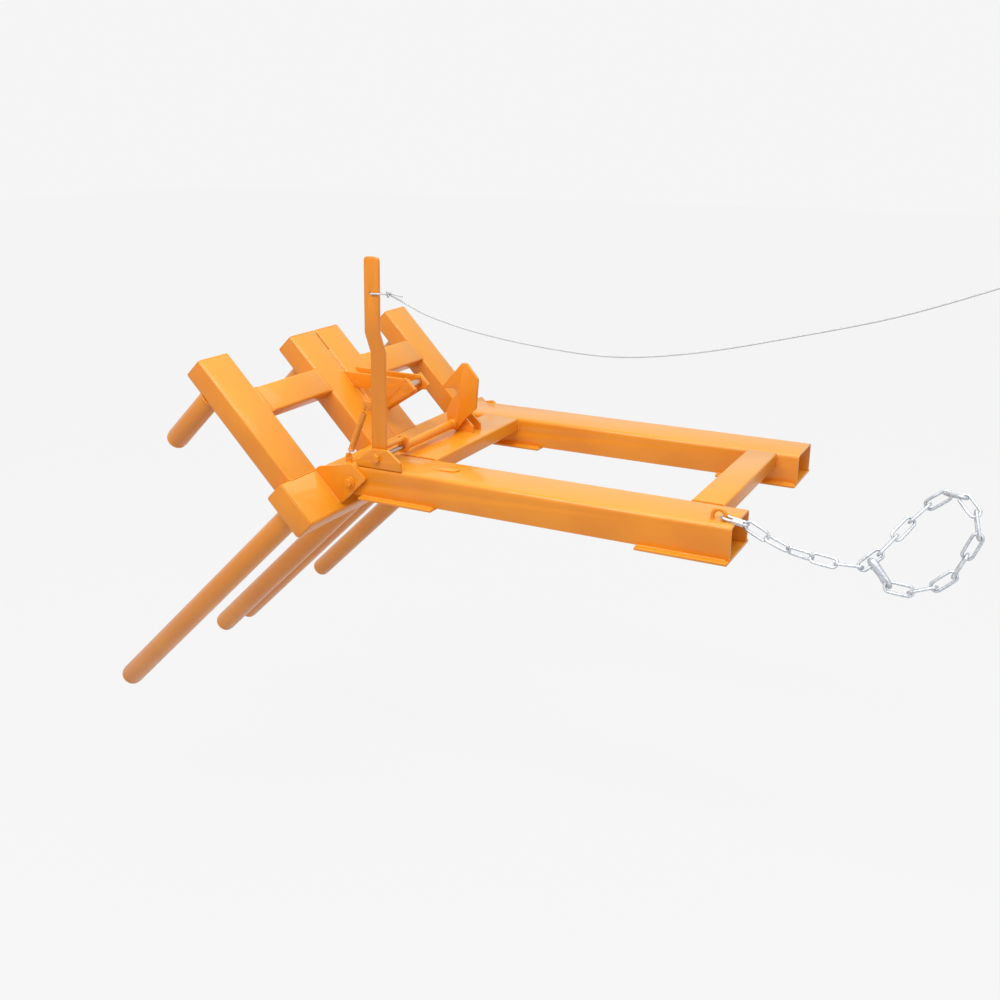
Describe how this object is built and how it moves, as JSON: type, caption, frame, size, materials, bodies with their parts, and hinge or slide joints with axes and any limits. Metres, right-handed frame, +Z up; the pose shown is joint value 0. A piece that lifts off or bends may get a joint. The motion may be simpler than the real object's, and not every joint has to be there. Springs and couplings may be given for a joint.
{
  "type": "forklift drum turner",
  "caption": "Fork-pocket frame with a hinged cradle of round tines that tips two drums from standing to lying, held upright by a rope-pulled hook latch.",
  "frame": {"origin": "midway between the two fork pockets, at their rear mouths, on the underside of their roofs", "axes": "+X towards the truck, +Y from the lever's side to the other side, +Z up"},
  "size_m": [2.9133, 1.2886, 1.6928],
  "materials": {
    "orange_paint": "semi-gloss powder coat",
    "zinc": "galvanised",
    "bright_steel": "bright turned bar",
    "rope": "braided cord"
  },
  "bodies": {
    "fork_frame": {"pocket_near": "orange_paint", "pocket_far": "orange_paint", "strap_front_near": "orange_paint", "strap_front_far": "orange_paint", "strap_rear_near": "orange_paint", "strap_rear_far": "orange_paint", "cross_tube_front": "orange_paint", "cross_tube_rear": "orange_paint", "pivot_bolt_near": "orange_paint", "pivot_bolt_far": "orange_paint", "pocket_pad": "orange_paint", "latch_plate_outer": "orange_paint", "hook_bearing_near": "orange_paint", "hook_bearing_far": "orange_paint", "latch_shaft": "bright_steel", "spring_anchor": "orange_paint", "return_spring": "zinc", "pull_rope": "rope", "chain_eye": "orange_paint", "quick_link": "zinc", "chain": "zinc", "snap_hook": "zinc"},
    "cradle": {"lower_tube": "orange_paint", "lower_tube_cap_near": "orange_paint", "lower_tube_cap_far": "orange_paint", "lug_near": "orange_paint", "lug_far": "orange_paint", "bridge_near": "orange_paint", "bridge_far": "orange_paint", "rail_near_outer": "orange_paint", "rail_cap_near_outer": "orange_paint", "rail_near_inner": "orange_paint", "rail_cap_near_inner": "orange_paint", "rail_far_inner": "orange_paint", "rail_cap_far_inner": "orange_paint", "rail_far_outer": "orange_paint", "rail_cap_far_outer": "orange_paint", "tine_long_near_outer": "orange_paint", "tine_short_near_outer": "orange_paint", "tine_long_near_inner": "orange_paint", "tine_short_near_inner": "orange_paint", "tine_long_far_outer": "orange_paint", "tine_short_far_outer": "orange_paint", "tine_long_far_inner": "orange_paint", "tine_short_far_inner": "orange_paint", "catch_arm_near": "orange_paint", "catch_arm_far": "orange_paint", "catch_post_near": "orange_paint", "catch_post_far": "orange_paint", "catch_pin": "bright_steel"},
    "latch": {"lever": "orange_paint", "spring_tab": "orange_paint", "drive_pin": "orange_paint", "crank_plate": "orange_paint", "torsion_tube": "orange_paint", "hook_plate": "orange_paint", "rope_knot": "rope"},
    "gate": {"snap_gate": "zinc"}
  },
  "joints": [
    {"name": "cradle_tilt", "type": "hinge", "parent": "fork_frame", "child": "cradle", "pos_m": [-1.22, 0, -0.049], "axis": [0, -1, 0], "range_deg": [-43.7, 46.2]},
    {"name": "latch_turn", "type": "hinge", "parent": "fork_frame", "child": "latch", "pos_m": [-1.124, 0, 0.038], "axis": [0, 1, 0], "range_deg": [0, 28], "stiffness_Nm_per_rad": 10, "springref_deg": -34.38, "deforming": ["return_spring", "pull_rope"]},
    {"name": "gate_turn", "type": "hinge", "parent": "fork_frame", "child": "gate", "pos_m": [0.38815, -0.4349, -0.07639], "axis": [0.623, 0.6032, 0.498], "range_deg": [0, 20], "stiffness_Nm_per_rad": 0.05, "springref_deg": -20.05}
  ]
}
